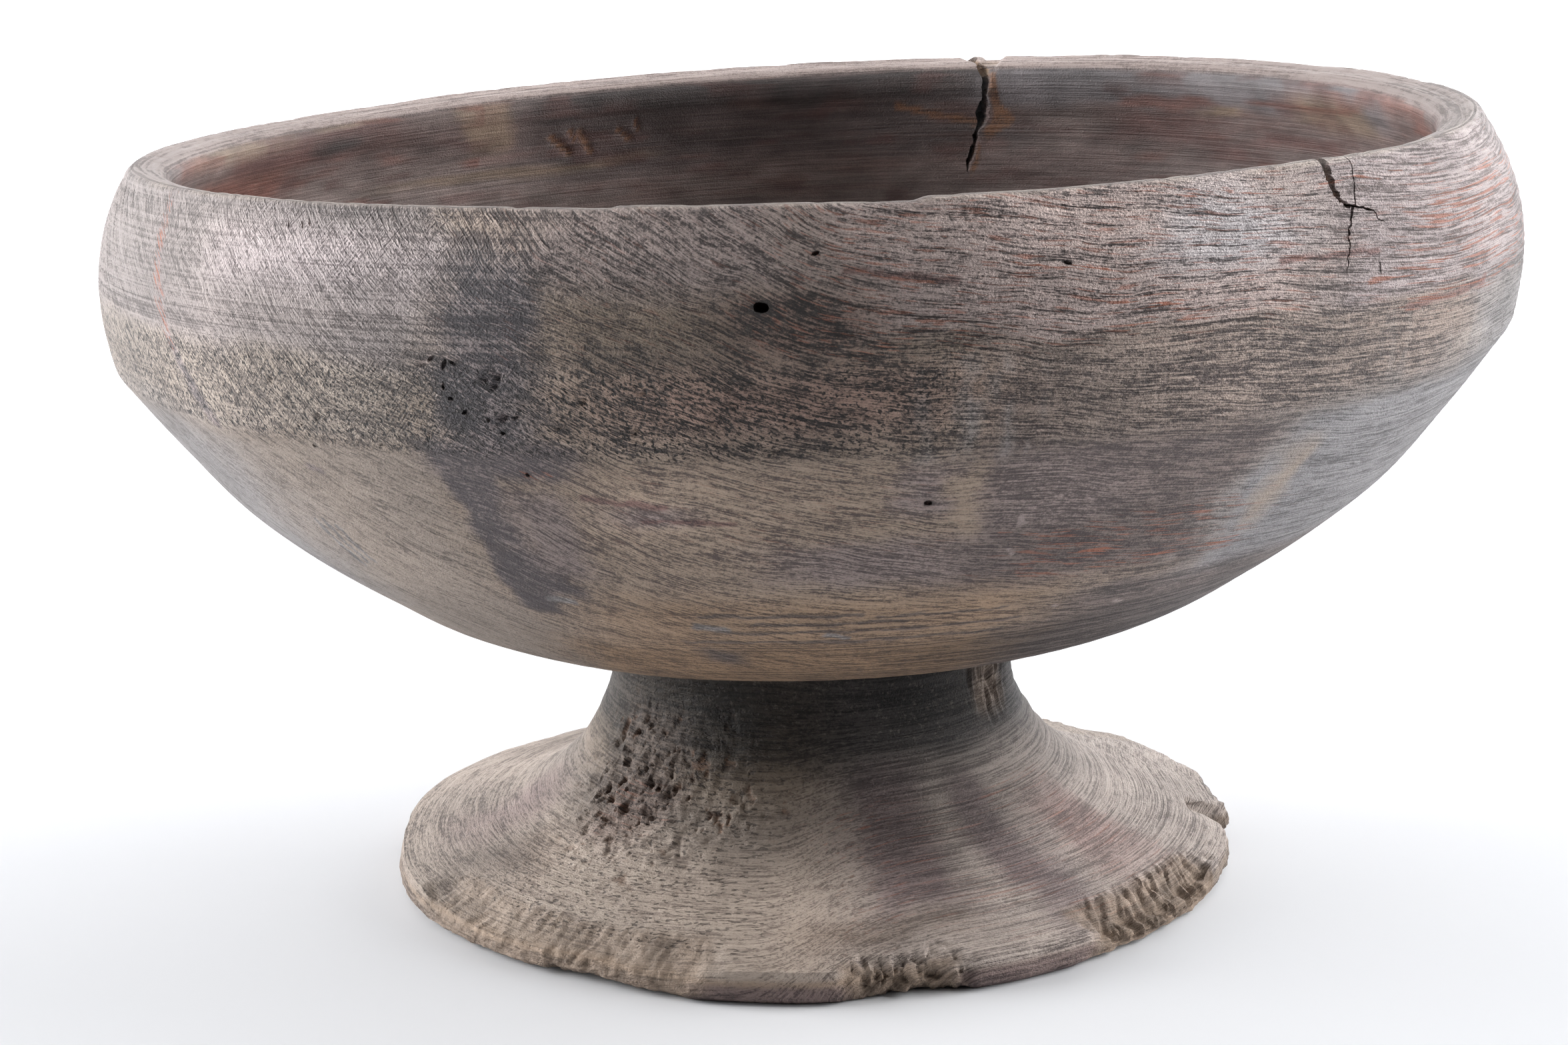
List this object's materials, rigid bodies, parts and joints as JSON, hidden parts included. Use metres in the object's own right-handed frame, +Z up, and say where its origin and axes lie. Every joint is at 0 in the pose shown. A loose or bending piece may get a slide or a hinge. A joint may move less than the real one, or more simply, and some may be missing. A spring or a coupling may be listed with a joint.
{
  "type": "footed wooden bowl",
  "caption": "Wide round bowl with a rolled-in rim on a flared foot, carved from one block of wood, with a cracked rim and a loose chip.",
  "frame": {"origin": "on the floor under the middle of the bowl", "axes": "+Z up; the side of the rim with the loose chip faces -Y and a little +X; +X to the right seen from -Y"},
  "size_m": [0.345, 0.3365, 0.1972],
  "materials": {
    "bowl_wood": "worn, dry, grey-brown with red-brown grain",
    "foot_wood": "dusty, weathered, pitted",
    "chip_wood": "worn, dry, pale where it broke"
  },
  "bodies": {
    "root": {"bowl": "bowl_wood", "foot": "foot_wood", "rim_chip": "chip_wood"}
  },
  "joints": []
}
